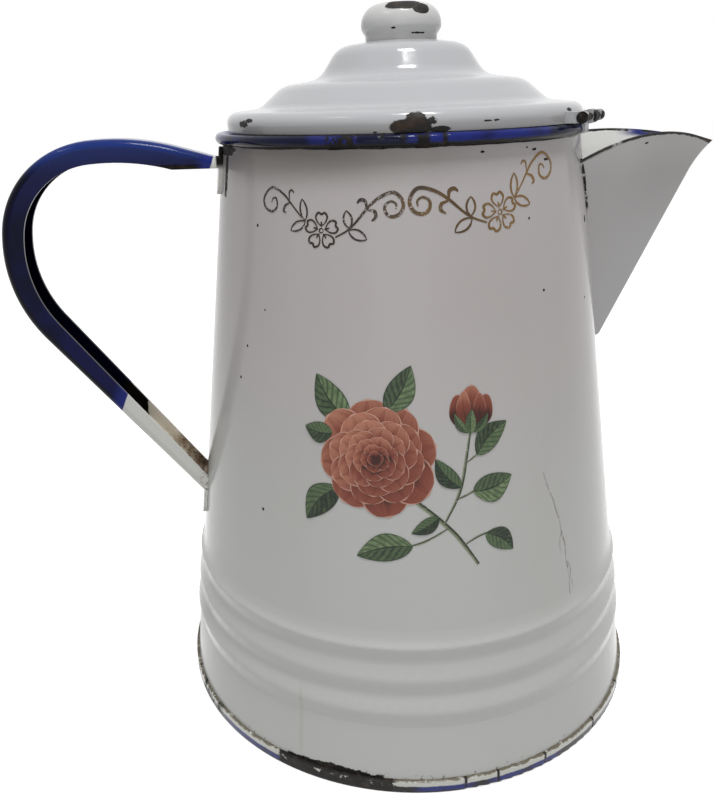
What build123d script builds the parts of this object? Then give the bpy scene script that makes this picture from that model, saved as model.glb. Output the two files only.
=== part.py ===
from build123d import *
import math
import os

# Enamelled sheet-steel coffee pot: a cone-shaped body with three pressed ribs, a spout folded from
# one sheet, a channel handle and a stepped lid that opens on a small hinge beside the spout.
# Sizes are in millimetres. Z is the body's axis and the pot stands on z = 0.
# The spout points along +X and the handle along -X.

# Body wall. Radii are those of its outer face.
sheet = 1.0
rim_top_z = 196.2
rim_roll_radius = 1.7
rim_roll_angle = 270.0
wall_top_radius = 58.7
wall_rib_radius = 79.5
foot_wall_radius = 81.7
rib_bottom_z = 21.9
rib_count = 3
rib_pitch = 10.5
rib_rise = 1.1

# Bottom pan and the folded seam that grips the wall's lower edge
foot_band_height = 4.5
pan_floor_z = 3.0
foot_edge_radius = 0.85
foot_top_round = 0.4

# Strainer holes through the wall behind the spout, the highest this far below the rim
strainer_hole_radius = 2.25
strainer_pitch = 9.0
strainer_top_drop = 24.2
strainer_rows = 5

# Spout. Its two flat sides meet at a keel and open upwards, with an arched edge. The keel's line is
# that of the sharp fold, before it is rounded. A drop is a distance below the rim.
spout_sheet = 1.0
spout_flare_radius = 108.7
spout_tip_overhang = 7.5
spout_tip_drop = 9.8
spout_side_angle = 27.2
spout_keel_angle = 27.2
spout_flare_drop = 19.7
spout_keel_round = 2.6
spout_trim = 8.0
spout_mouth_x = 51.0
spout_mouth_drop = 11.3
spout_arch_x = 70.0
spout_arch_drop = 5.8
spout_lip_x = 103.0
spout_lip_drop = 6.8
spout_heel_drop = 78.7
spout_heel_round = 1.8

# Handle. A channel bent from strip, open towards the body. Its line is that of the outer face.
handle_sheet = 1.2
handle_width = 14.0
channel_depth = 7.2
foot_end_depth = 4.8
rim_end_depth = 2.4
handle_corner_radius = 3.0
handle_start_radius = 58.0
handle_start_drop = 8.4
handle_rise_angle = 17.0
top_run = 16.2
crown_radius = 75.6
crown_angle = 21.8
shoulder_radius = 31.9
shoulder_angle = 78.5
back_run = 1.3
heel_radius = 47.0
heel_angle = 44.5
lower_run = 92.0
rim_end_clearance = 1.0
top_tab_drop = 15.0
low_tab_drop = 8.0
low_tab_height = 15.0
tab_corner_radius = 4.0

# Lid. Its line is the middle of the sheet. It lies loose, a little towards its hinge.
lid_offset = 1.3
lid_edge_radius = 57.3
lid_band_radius = 57.7
lid_band_height = 5.1
lid_flat_radius = 46.7
lid_flat_rise = 1.3
lid_step_radius = 39.2
lid_step_rise = 6.6
lid_ledge_radius = 26.8
lid_ledge_rise = 1.8
lid_crown_radius = 20.5
lid_crown_rise = 9.6
lid_top_rise = 1.4
lid_bend_radii = [3.0, 6.0, 8.0, 8.0, 7.0]

# Collar under the lid that keeps it centred in the mouth
collar_radius = 55.3
collar_depth = 8.1
collar_flange_radius = 52.5
collar_bend_radius = 1.2

# Hollow knob. Its neck passes through the lid and is turned outwards below it.
neck_radius = 11.6
knob_radius = 12.95
knob_neck_height = 2.4
knob_swell_height = 2.0
knob_side_height = 7.6
knob_waist_bend = 1.5
knob_belly_bend = 2.0
knob_side_run = 1.1
neck_lip = 2.0
neck_bend_slack = 0.01

# Hinge between the rim and the lid. It is built on +X, then turned to its place on the rim.
hinge_azimuth = -35.5
pin_radius = 1.0
pin_clearance = 0.08
pin_head_radius = 1.7
pin_head_height = 0.7
rim_clearance = 0.3
lug_width = 5.6
lug_seat = 0.4
lug_foot_drop = 1.2
lug_curl_angle = 290.0
arm_thickness = 3.2
arm_width = 2.7
arm_spacing = 23.0
yoke_plate_sheet = 1.2

roll_z = rim_top_z - rim_roll_radius
wall_taper = (wall_rib_radius - wall_top_radius) / (roll_z - rib_bottom_z)
roll_radius_out = wall_top_radius - sheet + rim_roll_radius
rim_outer_radius = roll_radius_out + rim_roll_radius
strainer_top_z = rim_top_z - strainer_top_drop
spout_reach = spout_flare_radius + spout_tip_overhang
spout_tip_z = rim_top_z - spout_tip_drop
spout_flare_z = rim_top_z - spout_flare_drop
spout_mouth_z = rim_top_z - spout_mouth_drop
spout_arch_z = rim_top_z - spout_arch_drop
spout_lip_z = rim_top_z - spout_lip_drop
spout_heel_z = rim_top_z - spout_heel_drop
handle_start_z = rim_top_z - handle_start_drop
pin_z = rim_top_z + rim_clearance + arm_thickness / 2
lug_line_radius = rim_outer_radius - lug_seat + sheet / 2
curl_radius = pin_radius + pin_clearance + sheet / 2
pin_reach = lug_line_radius + curl_radius
lid_edge_z = rim_top_z + rim_clearance
lid_band_top_z = lid_edge_z + lid_band_height
lid_flat_z = lid_band_top_z + lid_flat_rise
lid_step_z = lid_flat_z + lid_step_rise
lid_ledge_z = lid_step_z + lid_ledge_rise
lid_crown_z = lid_ledge_z + lid_crown_rise
lid_top_z = lid_crown_z + lid_top_rise
collar_bottom_z = lid_edge_z - collar_depth
knob_waist_z = lid_top_z + knob_neck_height
knob_belly_z = knob_waist_z + knob_swell_height
knob_top_z = knob_belly_z + knob_side_height


def wall_radius(z):
    """Outer radius of the straight cone at a height, ribs left out."""
    return wall_top_radius + (roll_z - z) * wall_taper


def turned(outline):
    """Solid of revolution about Z from a closed outline drawn in radius and height."""
    return revolve(Plane.XZ * make_face(outline), Axis.Z)


def turned_sheet(line, thickness):
    """Sheet-metal shell of revolution whose middle line is drawn in radius and height."""
    return revolve(Plane.XZ * trace(line, thickness), Axis.Z)


def across(face, width):
    """Solid made by thickening a face drawn in X and Z evenly to both sides of Y = 0."""
    return extrude(Plane.XZ * face, width / 2, both=True)


def heading(angle):
    """Unit vector at an angle from the first axis of a drawing."""
    return Vector(math.cos(math.radians(angle)), math.sin(math.radians(angle)))


def at_hinge(solid):
    """The same solid turned about Z from +X to the hinge's place on the rim."""
    return Rot(0, 0, hinge_azimuth) * solid


def on_lid(solid):
    """The same solid moved from the body's axis to the axis of the lid as it lies."""
    return at_hinge(Pos(lid_offset, 0, 0) * solid)


def wall_line(inset):
    """The wall from its lower edge to the rim roll, moved inwards by the inset."""
    low = (foot_wall_radius - inset, sheet)
    foot = (foot_wall_radius - inset, foot_band_height)
    rib_foot = (wall_rib_radius - inset, rib_bottom_z)
    rib_points = [rib_foot]
    for rib in range(rib_count):
        crest_z = rib_bottom_z + (rib + 0.5) * rib_pitch
        valley_z = rib_bottom_z + (rib + 1) * rib_pitch
        rib_points.append((wall_radius(crest_z) + rib_rise - inset, crest_z))
        rib_points.append((wall_radius(valley_z) - inset, valley_z))
    flare = Vector(*rib_foot) - Vector(*foot)
    ribs = Spline(rib_points, tangents=(flare.normalized(), Vector(-wall_taper, 1).normalized()))
    top = (wall_top_radius - inset, roll_z)
    return Line(low, foot) + Line(foot, rib_foot) + ribs + Line(rib_points[-1], top)


def body_cone():
    """Filled cone of the wall, to trim what is fixed to the outside of the body."""
    edge = Line((wall_radius(0), 0), (wall_top_radius, roll_z))
    back = Polyline((wall_top_radius, roll_z), (0, roll_z), (0, 0), (wall_radius(0), 0))
    return turned(edge + back)


def make_body():
    """Tapered wall with pressed ribs, a rolled rim and the strainer holes."""
    roll_centre = (roll_radius_out, roll_z)
    outer_roll = CenterArc(roll_centre, rim_roll_radius, 180, -rim_roll_angle)
    inner_roll = CenterArc(roll_centre, rim_roll_radius - sheet, 180, -rim_roll_angle)
    roll_end = Line(outer_roll @ 1, inner_roll @ 1)
    bottom = Line((foot_wall_radius - sheet, sheet), (foot_wall_radius, sheet))
    wall = turned(wall_line(0) + wall_line(sheet) + outer_roll + inner_roll + roll_end + bottom)
    for row in range(strainer_rows):
        holes = strainer_rows - row
        z = strainer_top_z - row * strainer_pitch
        for hole in range(holes):
            y = (hole - (holes - 1) / 2) * strainer_pitch
            drill = extrude(Plane.YZ * Pos(y, z) * Circle(strainer_hole_radius), wall_rib_radius)
            wall -= drill
    return wall


def make_base_pan():
    """Bottom disc, set up from the table, whose edge is folded round the wall's lower edge."""
    wall_inside = foot_wall_radius - sheet
    groove_inside = wall_inside - sheet
    foot_outside = foot_wall_radius + sheet
    lower = Polyline(
        (0, pan_floor_z),
        (groove_inside, pan_floor_z),
        (groove_inside, 0),
        (foot_outside, 0),
        (foot_outside, foot_band_height),
        (foot_wall_radius, foot_band_height),
    )
    upper = Polyline(
        (foot_wall_radius, foot_band_height),
        (foot_wall_radius, sheet),
        (wall_inside, sheet),
        (wall_inside, pan_floor_z + sheet),
        (0, pan_floor_z + sheet),
        (0, pan_floor_z),
    )
    section = make_face(lower + upper)
    rounded = [p for p in section.vertices() if p.Y < sheet / 2 and p.X > groove_inside - sheet / 2]
    section = fillet(rounded, foot_edge_radius)
    top_corner = section.vertices().sort_by_distance((foot_outside, foot_band_height))[0]
    section = fillet(top_corner, foot_top_round)
    return revolve(Plane.XZ * section, Axis.Z)


def keel_region(inset):
    """Area behind the keel in the plane Y = 0, its front moved back by the inset."""
    below_z = spout_heel_z - spout_trim
    lean = math.tan(math.radians(spout_keel_angle))
    start = (spout_flare_radius - (spout_flare_z - below_z) * lean - inset, below_z)
    flare = (spout_flare_radius - inset, spout_flare_z)
    tip = (spout_reach - inset, spout_tip_z)
    bend = TangentArc(flare, tip, tangent=heading(90 - spout_keel_angle))
    above = bend @ 1 + (bend % 1) * spout_trim
    back = Polyline((above.X, above.Y), (-spout_reach, above.Y), (-spout_reach, below_z), start)
    return make_face(Line(start, flare) + bend + Line(bend @ 1, above) + back)


def keel_edges(wedge):
    """Front edges of the spout's wedge, which lie in the plane Y = 0."""
    level = [e for e in wedge.edges() if all(abs((e @ t).Y) < 0.001 for t in (0, 0.5, 1))]
    return [e for e in level if (e @ 0.5).X > wall_top_radius and abs((e @ 0).Z - (e @ 1).Z) > 1]


def spout_wedge(inset, keel_round):
    """Solid V of the spout, closed below: both sides run level from the keel, at the side angle."""
    face = Plane.XZ * keel_region(inset / math.sin(math.radians(spout_side_angle)))
    along = heading(spout_side_angle)
    length = 2 * spout_reach
    halves = [extrude(face, length, dir=(along.X, side * along.Y, 0), both=True) for side in (1, -1)]
    wedge = halves[0] & halves[1]
    wedge = fillet(keel_edges(wedge), keel_round)
    wedge = split(wedge, Plane.XY.offset(spout_heel_z + inset), keep=Keep.TOP)
    heel = wedge.faces().sort_by(Axis.Z)[0].edges().filter_by(lambda e: (e @ 0.5).X > wall_top_radius)
    return fillet(heel, spout_heel_round - inset)


def make_spout():
    """Open spout of one folded sheet, welded to the outside of the wall."""
    shell = spout_wedge(0, spout_keel_round) - spout_wedge(spout_sheet, spout_keel_round - spout_sheet)
    mouth = (spout_mouth_x, spout_mouth_z)
    tip = (spout_reach, spout_tip_z)
    lip = (spout_lip_x, spout_lip_z)
    arch = ThreePointArc(mouth, (spout_arch_x, spout_arch_z), lip) + Line(lip, tip)
    below = Polyline(tip, (spout_reach, 0), (0, 0), (0, spout_mouth_z), mouth)
    shell = shell & across(make_face(arch + below), spout_reach * 2)
    shell -= body_cone()
    return shell.solids().sort_by(Axis.X)[-1]


def strap_line(inset):
    """Outer line of the handle from the rim to the body, moved towards the hand by the inset."""
    turn = handle_rise_angle
    start = Vector(handle_start_radius, handle_start_z) - heading(turn + 90) * inset
    top = Line(start, start + heading(turn) * top_run)
    crown = JernArc(top @ 1, heading(turn), crown_radius - inset, -crown_angle)
    turn -= crown_angle
    shoulder = JernArc(crown @ 1, heading(turn), shoulder_radius - inset, -shoulder_angle)
    turn -= shoulder_angle
    back = Line(shoulder @ 1, shoulder @ 1 + heading(turn) * back_run)
    heel = JernArc(back @ 1, heading(turn), heel_radius - inset, -heel_angle)
    turn -= heel_angle
    lower = Line(heel @ 1, heel @ 1 + heading(turn) * lower_run)
    return [top, crown, shoulder, back, heel, lower]


def strip_between(outer_inset, inner_inset):
    """Area between two lines of the handle."""
    outer = strap_line(outer_inset)
    inner = strap_line(inner_inset)
    ends = [Line(outer[0] @ 0, inner[0] @ 0), Line(outer[-1] @ 1, inner[-1] @ 1)]
    return make_face(outer + inner + ends)


def strap_foot_z():
    """Height at which the outer line of the handle's lower run meets the wall."""
    bend = strap_line(0)[-1]
    start = bend @ 0
    way = bend % 1
    gap = start.X - wall_radius(start.Y)
    return start.Y - gap * way.Y / (way.X + wall_taper * way.Y)


def wall_tab(bottom_z, height):
    """Curved plate on the wall with rounded corners, to carry one end of the handle."""
    top_z = bottom_z + height
    low = wall_radius(bottom_z)
    high = wall_radius(top_z)
    outline = Polyline(
        (low, bottom_z),
        (low + handle_sheet, bottom_z),
        (high + handle_sheet, top_z),
        (high, top_z),
        (low, bottom_z),
    )
    plate = RectangleRounded(handle_width, height, tab_corner_radius)
    cutter = extrude(Plane.YZ * Pos(0, bottom_z + height / 2) * plate, wall_rib_radius * 2)
    return turned(outline) & cutter


def rounded_strip(outer_inset, inner_inset, width, corner_radius):
    """Solid bar along the handle whose two outer corners are rounded."""
    bar = across(strip_between(outer_inset, inner_inset), width)
    back = Wire([e for piece in strap_line(outer_inset) for e in piece.edges()])
    sides = [e for e in bar.edges() if abs(abs((e @ 0.5).Y) - width / 2) < 0.01]
    bends = [e for e in sides if back.distance_to(Vertex((e @ 0.5).X, (e @ 0.5).Z)) < 0.01]
    return fillet(bends, corner_radius)


def rim_end_taper():
    """Area cut from the channel's open edges, to make it shallow near the rim."""
    deep = strap_line(channel_depth)[1] @ 0
    top_z = handle_start_z - rim_end_depth
    low_z = top_z - 2 * channel_depth
    outline = Polyline(
        (0, top_z),
        (handle_start_radius, top_z),
        (deep.X, deep.Y),
        (deep.X, low_z),
        (0, low_z),
        (0, top_z),
    )
    return make_face(outline)


def foot_end_taper():
    """Area cut from the channel's open edges, to make it shallower towards the foot."""
    deep = strap_line(channel_depth)[-1]
    shallow = strap_line(foot_end_depth)[-1]
    outside = strap_line(2 * channel_depth)[-1]
    return make_face(Polyline(deep @ 0, shallow @ 1, outside @ 1, outside @ 0, deep @ 0))


def make_handle():
    """Channel strap with a tab on the wall at each end."""
    inner_width = handle_width - 2 * handle_sheet
    inner_corner = handle_corner_radius - handle_sheet
    strap = rounded_strip(0, channel_depth, handle_width, handle_corner_radius)
    strap -= rounded_strip(handle_sheet, channel_depth + handle_sheet, inner_width, inner_corner)
    strap -= across(rim_end_taper(), handle_width * 2)
    strap -= across(foot_end_taper(), handle_width * 2)
    strap -= body_cone()
    strap += wall_tab(roll_z - rim_roll_radius - rim_end_clearance - top_tab_drop, top_tab_drop)
    strap += wall_tab(strap_foot_z() - low_tab_drop, low_tab_height)
    strap -= body_cone()
    return Rot(0, 0, 180) * strap


def make_lug():
    """Strip welded to the outside of the rolled rim and curled round the hinge pin."""
    line = Line((lug_line_radius, roll_z - lug_foot_drop), (lug_line_radius, pin_z))
    curl = JernArc(line @ 1, (0, 1), curl_radius, -lug_curl_angle)
    strip = across(trace([line, curl], sheet), lug_width)
    rim_ring = Torus(roll_radius_out, rim_roll_radius)
    return at_hinge(strip - Pos(0, 0, roll_z) * rim_ring)


def lid_line():
    """Middle line of the lid's sheet, from its bottom edge to the knob's neck."""
    return FilletPolyline(
        (lid_edge_radius, lid_edge_z),
        (lid_band_radius, lid_band_top_z),
        (lid_flat_radius, lid_flat_z),
        (lid_step_radius, lid_step_z),
        (lid_ledge_radius, lid_ledge_z),
        (lid_crown_radius, lid_crown_z),
        (neck_radius, lid_top_z),
        radius=lid_bend_radii,
    )


def make_lid():
    """Stepped lid of one sheet, with a hole in its crown for the knob's neck."""
    bore = extrude(Circle(neck_radius), knob_top_z)
    return on_lid(turned_sheet(lid_line(), sheet) - bore)


def make_collar():
    """Ring that reaches into the mouth, with a flange that lies under the lid."""
    slope = (lid_flat_z - lid_band_top_z) / (lid_band_radius - lid_flat_radius)
    drop = sheet / math.cos(math.atan(slope))
    corner_z = lid_band_top_z + (lid_band_radius - collar_radius) * slope - drop
    flange_z = lid_band_top_z + (lid_band_radius - collar_flange_radius) * slope - drop
    line = FilletPolyline(
        (collar_radius, collar_bottom_z),
        (collar_radius, corner_z),
        (collar_flange_radius, flange_z),
        radius=collar_bend_radius,
    )
    return on_lid(turned_sheet(line, sheet))


def make_knob():
    """Hollow pressed knob with its neck turned outwards under the lid."""
    half = sheet / 2
    slope = (lid_top_z - lid_crown_z) / (lid_crown_radius - neck_radius)
    under = lid_top_z - sheet / math.cos(math.atan(slope))
    neck = neck_radius - half
    crown_bend = knob_side_height - half - knob_side_run
    line = FilletPolyline(
        (neck_radius + neck_lip, under - neck_lip * slope),
        (neck, under + half * slope),
        (neck, knob_waist_z),
        (knob_radius - half, knob_belly_z),
        (knob_radius - half, knob_top_z - half),
        (0, knob_top_z - half),
        radius=[half + neck_bend_slack, knob_waist_bend, knob_belly_bend, crown_bend],
    )
    return on_lid(turned_sheet(line, sheet))


def make_yoke(lid):
    """Plate on the lid's band with two arms that hold the ends of the pin."""
    band_outside = lid_band_radius + sheet / 2
    ring = Circle(band_outside + yoke_plate_sheet) - Circle(lid_edge_radius)
    front = Pos(band_outside, 0) * Rectangle(band_outside, arm_spacing + arm_width)
    plate = Pos(lid_offset, 0, pin_z - arm_thickness / 2) * extrude(ring & front, arm_thickness)
    arm_length = pin_reach - lid_edge_radius
    arm_face = Pos(pin_reach - arm_length / 2, pin_z) * Rectangle(arm_length, arm_thickness)
    arm_face += Pos(pin_reach, pin_z) * Circle(arm_thickness / 2)
    arm_face -= Pos(pin_reach, pin_z) * Circle(pin_radius)
    arm = across(arm_face, arm_width)
    yoke = plate + Pos(0, arm_spacing / 2, 0) * arm + Pos(0, -arm_spacing / 2, 0) * arm
    inside = Pos(lid_offset, 0, rim_top_z) * extrude(Circle(lid_edge_radius), lid_band_top_z - rim_top_z)
    return at_hinge(yoke - inside) - lid


def make_pin():
    """Hinge pin with a flattened head outside each arm."""
    length = arm_spacing + arm_width
    shank = Cylinder(pin_radius, length + 2 * pin_head_height)
    head = Cylinder(pin_head_radius, pin_head_height)
    offset = (length + pin_head_height) / 2
    pin = shank + Pos(0, 0, offset) * head + Pos(0, 0, -offset) * head
    return at_hinge(Pos(pin_reach, 0, pin_z) * Rot(90, 0, 0) * pin)


def main():
    """Build every sub-part and write one file for each."""
    lid = make_lid()
    parts = {
        "body_shell": make_body(),
        "base_pan": make_base_pan(),
        "spout_shell": make_spout(),
        "handle_strap": make_handle(),
        "rim_hinge_lug": make_lug(),
        "lid_dome": lid,
        "lid_collar": make_collar(),
        "knob_shell": make_knob(),
        "lid_hinge_yoke": make_yoke(lid),
        "hinge_pin": make_pin(),
    }
    os.makedirs("parts", exist_ok=True)
    for name, solid in parts.items():
        export_step(solid, f"parts/{name}.step")


main()
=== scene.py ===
import math
import random

import bpy
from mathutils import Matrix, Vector


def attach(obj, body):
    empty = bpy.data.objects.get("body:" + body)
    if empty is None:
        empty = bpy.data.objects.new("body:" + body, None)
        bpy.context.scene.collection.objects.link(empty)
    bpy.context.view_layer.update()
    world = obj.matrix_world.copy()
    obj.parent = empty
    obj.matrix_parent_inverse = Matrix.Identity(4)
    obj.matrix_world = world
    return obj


# Sizes are in metres. The pot stands on z = 0, its spout points along +X and its handle along -X.
MM = 0.001

# Camera, as solved from the photograph
CAMERA_PLACE = (-0.06076, -0.27408, 0.20623)
CAMERA_TURN = (73.275, 1.94, -8.316)
CAMERA_LENS = 36.38
CAMERA_SENSOR = 36.0
CAMERA_SHIFT = (0.0258, -0.0752)

# Wall of the body, a straight cone above the ribs
WALL_TOP_RADIUS = 58.7 * MM
WALL_LOW_RADIUS = 79.5 * MM
WALL_LOW_Z = 21.9 * MM
WALL_TOP_Z = 194.5 * MM
RIM_DIP_Z = 192.4 * MM
FOOT_BAND_Z = 4.5 * MM

# Lid, whose axis lies a little towards the hinge
LID_OFFSET = 1.3 * MM
HINGE_AZIMUTH = -35.5
LID_BAND_RADIUS = 58.2 * MM
KNOB_RADIUS = 12.95 * MM
PIN_REACH = 62.78 * MM

# Prints and the crack on the wall: where their middles lie, by azimuth in degrees and height,
# and how far they and their layers stand off
FRIEZE_PLACE = (-100.6, 176.5 * MM)
SPRAY_PLACE = (-101.4, 103.0 * MM)
CRACK_PLACE = (-60.0, 62.0 * MM)
PRINT_LIFT = 0.05 * MM
PRINT_LAYER = 0.035 * MM
PRINT_THICKNESS = 0.03 * MM

# Grid of a printed petal or leaf, along and across, and the seeds of the random runs
BLADE_GRID = (18, 9)
BLOSSOM_SEED = 11
BEAD_SEED = 5

# Frieze, drawn flat in millimetres: the left half from its middle, lines with their widths.
# Its halves: side, turn in degrees, scale and weight of the lines.
SCROLL_HALVES = [(1, 0.0, 1.0, 1.0), (-1, 9.0, 1.08, 1.1)]
SCROLL_VINE = [
    (-19.8, -7.6),
    (-16.7, -5.9),
    (-14.1, -3.6),
    (-10.9, 0.2),
    (-7.7, 3.0),
    (-4.0, 4.5),
    (-1.8, 3.3),
    (-0.9, 1.1),
    (-1.8, -1.1),
    (-3.9, -2.0),
    (-5.6, -1.0),
    (-5.9, 1.0),
    (-4.3, 2.1),
    (-2.9, 1.4),
    (-2.9, 0.1),
]
SCROLL_END = [
    (-29.1, -3.6),
    (-32.0, -0.9),
    (-34.4, 1.5),
    (-37.2, 3.9),
    (-41.5, 5.4),
    (-44.6, 2.6),
    (-44.1, -0.2),
    (-41.3, -1.4),
    (-39.3, 0.1),
    (-39.7, 2.4),
    (-41.0, 2.3),
    (-41.5, 1.2),
]
SCROLL_LINES = [
    (SCROLL_VINE, 0.95),
    (SCROLL_END, 0.7),
    ([(-34.7, 2.2), (-34.8, 4.3), (-33.9, 4.9), (-33.1, 4.1)], 0.55),
    ([(-34.4, 1.5), (-36.2, 0.5), (-36.7, -0.9), (-35.8, -1.5)], 0.75),
    ([(-10.9, 0.2), (-11.3, 2.2), (-12.7, 2.6), (-13.6, 1.7)], 0.95),
    ([(-10.6, -0.1), (-8.8, -0.5), (-8.4, -1.9), (-9.5, -3.1)], 0.95),
]

# Leaves of the frieze: base, tip and width
SCROLL_LEAVES = [
    ((-29.1, -3.3), (-30.4, 2.6), 2.2),
    ((-29.1, -3.6), (-34.0, -6.3), 2.4),
    ((-15.8, -5.0), (-16.7, -0.3), 2.4),
    ((-16.0, -5.7), (-10.9, -8.1), 2.6),
]

# Side of such a leaf: how far along it, and the share of its half width
LEAF_SIDE = [(0.2, 0.7), (0.5, 1.0), (0.8, 0.65)]

# Flower of the frieze: its middle, one petal (out from there and across), its dashes and its ring
SCROLL_FLOWER = (-24.0, -5.9)
PETAL_OUTLINE = [
    (1.2, 0.0),
    (2.4, 1.25),
    (3.8, 1.75),
    (4.9, 1.0),
    (4.5, 0.0),
    (4.9, -1.0),
    (3.8, -1.75),
    (2.4, -1.25),
    (1.2, 0.0),
]
PETAL_DASH = (1.0, 1.7, 2.6)
FLOWER_RING = 0.6

# Printed spray, drawn flat in millimetres from its middle. Rings of the blossom from the outside in:
# number of petals, length, width, first angle in degrees and tone.
BLOSSOM = (-9.0, 3.5)
BLOSSOM_RINGS = [
    (8, 18.0, 14.0, 12, 0.42),
    (8, 15.0, 12.0, 34, 0.5),
    (7, 12.0, 10.5, 5, 0.55),
    (7, 9.2, 8.5, 30, 0.58),
    (6, 6.6, 6.6, 12, 0.5),
    (5, 4.3, 4.6, 40, 0.38),
    (4, 2.5, 2.8, 10, 0.25),
]
PETAL_RISE = 0.35
LIT_FROM = math.radians(125)

# Stems: points, width and the share of it that is left at the ends
SPRAY_STEMS = [
    ([(20.0, -30.0), (13.5, -20.0), (5.0, -11.5), (-4.0, -5.0)], 1.25, 0.7),
    ([(10.3, -16.8), (15.2, -7.0), (17.4, 3.0), (19.0, 12.0)], 0.9, 0.6),
    ([(16.0, -23.5), (20.0, -21.5), (24.0, -20.5)], 0.6, 0.5),
    ([(11.5, -18.0), (5.0, -21.5), (0.0, -23.0)], 0.6, 0.5),
    ([(14.0, -9.5), (18.0, -8.0), (21.0, -6.5)], 0.6, 0.5),
    ([(17.0, 1.0), (20.0, 3.0), (22.0, 4.0)], 0.5, 0.5),
]

# Leaves, and the petals and sepals of the bud: base, tip, width, sideways bend and tone
SPRAY_LEAVES = [
    ((-17.0, 14.0), (-27.5, 27.0), 9.5, 1.2, 0.42),
    ((-6.0, 17.0), (1.5, 30.5), 8.5, -1.0, 0.34),
    ((-20.0, -6.0), (-30.0, -17.5), 8.8, -1.4, 0.2),
    ((1.5, -22.8), (-14.5, -26.5), 8.6, -1.2, 0.4),
    ((22.5, -20.8), (31.0, -27.5), 6.6, 1.0, 0.22),
    ((19.0, -7.6), (31.5, -4.5), 8.8, -1.2, 0.46),
    ((20.5, 3.2), (30.5, 12.0), 7.4, 1.2, 0.3),
    ((9.0, -14.2), (1.0, -19.0), 4.6, 0.6, 0.12),
    ((15.6, -6.0), (8.2, 3.2), 5.6, 1.0, 0.16),
    ((-22.0, 10.0), (-31.0, 11.0), 6.4, 0.8, 0.28),
]
BUD_PETALS = [
    ((18.6, 11.0), (14.6, 21.5), 6.6, 0.8, 0.3),
    ((19.4, 11.0), (24.6, 20.8), 6.6, -0.8, 0.34),
    ((19.0, 10.5), (19.6, 24.0), 8.4, 0.5, 0.6),
    ((18.4, 10.8), (17.2, 22.6), 4.6, 0.9, 0.75),
    ((19.8, 10.8), (22.0, 21.6), 4.2, -0.9, 0.5),
]
BUD_SEPALS = [
    ((18.2, 10.0), (14.0, 16.2), 2.6, 0.7, 0.4),
    ((19.6, 10.0), (24.4, 15.4), 2.6, -0.7, 0.3),
    ((18.9, 9.6), (19.4, 17.0), 3.4, 0.2, 0.5),
]

# Hairline crack on the right of the wall, drawn flat in millimetres from its middle, with widths
CRACK_RUN = [
    (-7.4, 34.0),
    (-6.6, 31.5),
    (-5.4, 28.0),
    (-3.6, 24.2),
    (-2.6, 20.5),
    (-1.0, 16.8),
    (-0.6, 13.0),
    (0.8, 7.8),
    (0.9, 3.0),
    (2.0, -2.8),
    (1.8, -7.0),
    (2.3, -11.5),
    (2.0, -14.5),
]
CRACK_LINES = [
    (CRACK_RUN, 0.42),
    ([(-0.6, 13.0), (-1.6, 10.0), (-1.5, 6.5)], 0.24),
    ([(0.9, 3.0), (2.6, 0.0), (2.9, -4.0), (3.8, -7.5)], 0.26),
]

# Spout: its keel, which leans outwards and curls further out above the flare (the curl is per metre),
# its arched upper edge, and the seam beside the wall
SPOUT_ANGLE = 27.2
KEEL_LEAN = math.tan(math.radians(SPOUT_ANGLE))
SPOUT_FLARE = (108.7 * MM, 176.5 * MM)
FLARE_CURL = 24.5
SPOUT_ARCH_X = 83.9 * MM
SPOUT_ARCH_Z = 105.1 * MM
SPOUT_ARCH_RADIUS = 86.4 * MM
SEAM_TOP_Z = 185.0 * MM
SEAM_LOW_Z = 118.0 * MM
SEAM_RADIUS = 0.45 * MM
SEAM_LIFT = 0.15 * MM
SEAM_POINTS = 44
SEAM_STEPS = 20

# Handle: its straight lower run along the web, and the slanted line on which the blue dip ends
LOWER_RUN_START = (-121.5 * MM, 0, 131.9 * MM)
LOWER_RUN_NORMAL = (-0.7903, 0, -0.6127)
DIP_EDGE = (-99.8 * MM, 0, 105.2 * MM)
DIP_EDGE_NORMAL = (0.91, 0, -0.41)

# Wear of the rim and the foot, by azimuth in degrees
RIM_WORN = [
    (-121.5, -113.5),
    (-107.2, -106.0),
    (-101.8, -100.6),
    (-98.0, -94.6),
    (-91.5, -90.0),
    (40, 75),
    (130, 150),
]
FOOT_CHIP = (-129.5, -107.5)
FOOT_CHIP_ENDS = 3.0
FOOT_BLUE = [(-151, -129), (-100, -88), (-84, -76), (-74, -66), (60, 120)]
FOOT_TICKS = [-89.6, -82.2, -70.1, -53.3, -37.9]

# Chips: azimuth in degrees, then height, half width and half height in millimetres, the grain of the
# edge and how ragged it is
WALL_CHIPS = [
    (-62.7, 190.3, 0.8, 0.35, "fine", 2.2),
    (-65.5, 191.0, 0.4, 0.25, "fine", 2.0),
    (-58.0, 187.2, 0.9, 0.35, "fine", 2.6),
    (-80.0, 190.6, 0.7, 0.3, "fine", 2.0),
]
LID_CHIPS = [
    (-100.2, 197.7, 6.0, 2.5, "coarse", 0.7),
    (-99.0, 199.6, 3.3, 1.9, "jagged", 1.6),
    (-95.6, 199.2, 2.2, 1.0, "fine", 2.2),
    (-92.8, 197.0, 3.2, 0.85, "jagged", 1.2),
    (-157.4, 199.3, 3.0, 1.0, "fine", 2.2),
    (-154.2, 200.2, 2.2, 0.7, "fine", 2.2),
    (-79.3, 198.7, 1.2, 0.25, "fine", 2.6),
    (-76.6, 198.8, 0.8, 0.3, "fine", 2.4),
    (-109.9, 196.7, 0.6, 0.25, "fine", 1.6),
    (-45.0, 200.4, 1.6, 0.5, "fine", 2.2),
    (35.0, 198.6, 5.0, 1.6, "jagged", 1.4),
    (120.0, 199.4, 2.4, 1.2, "jagged", 1.6),
]

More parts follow.
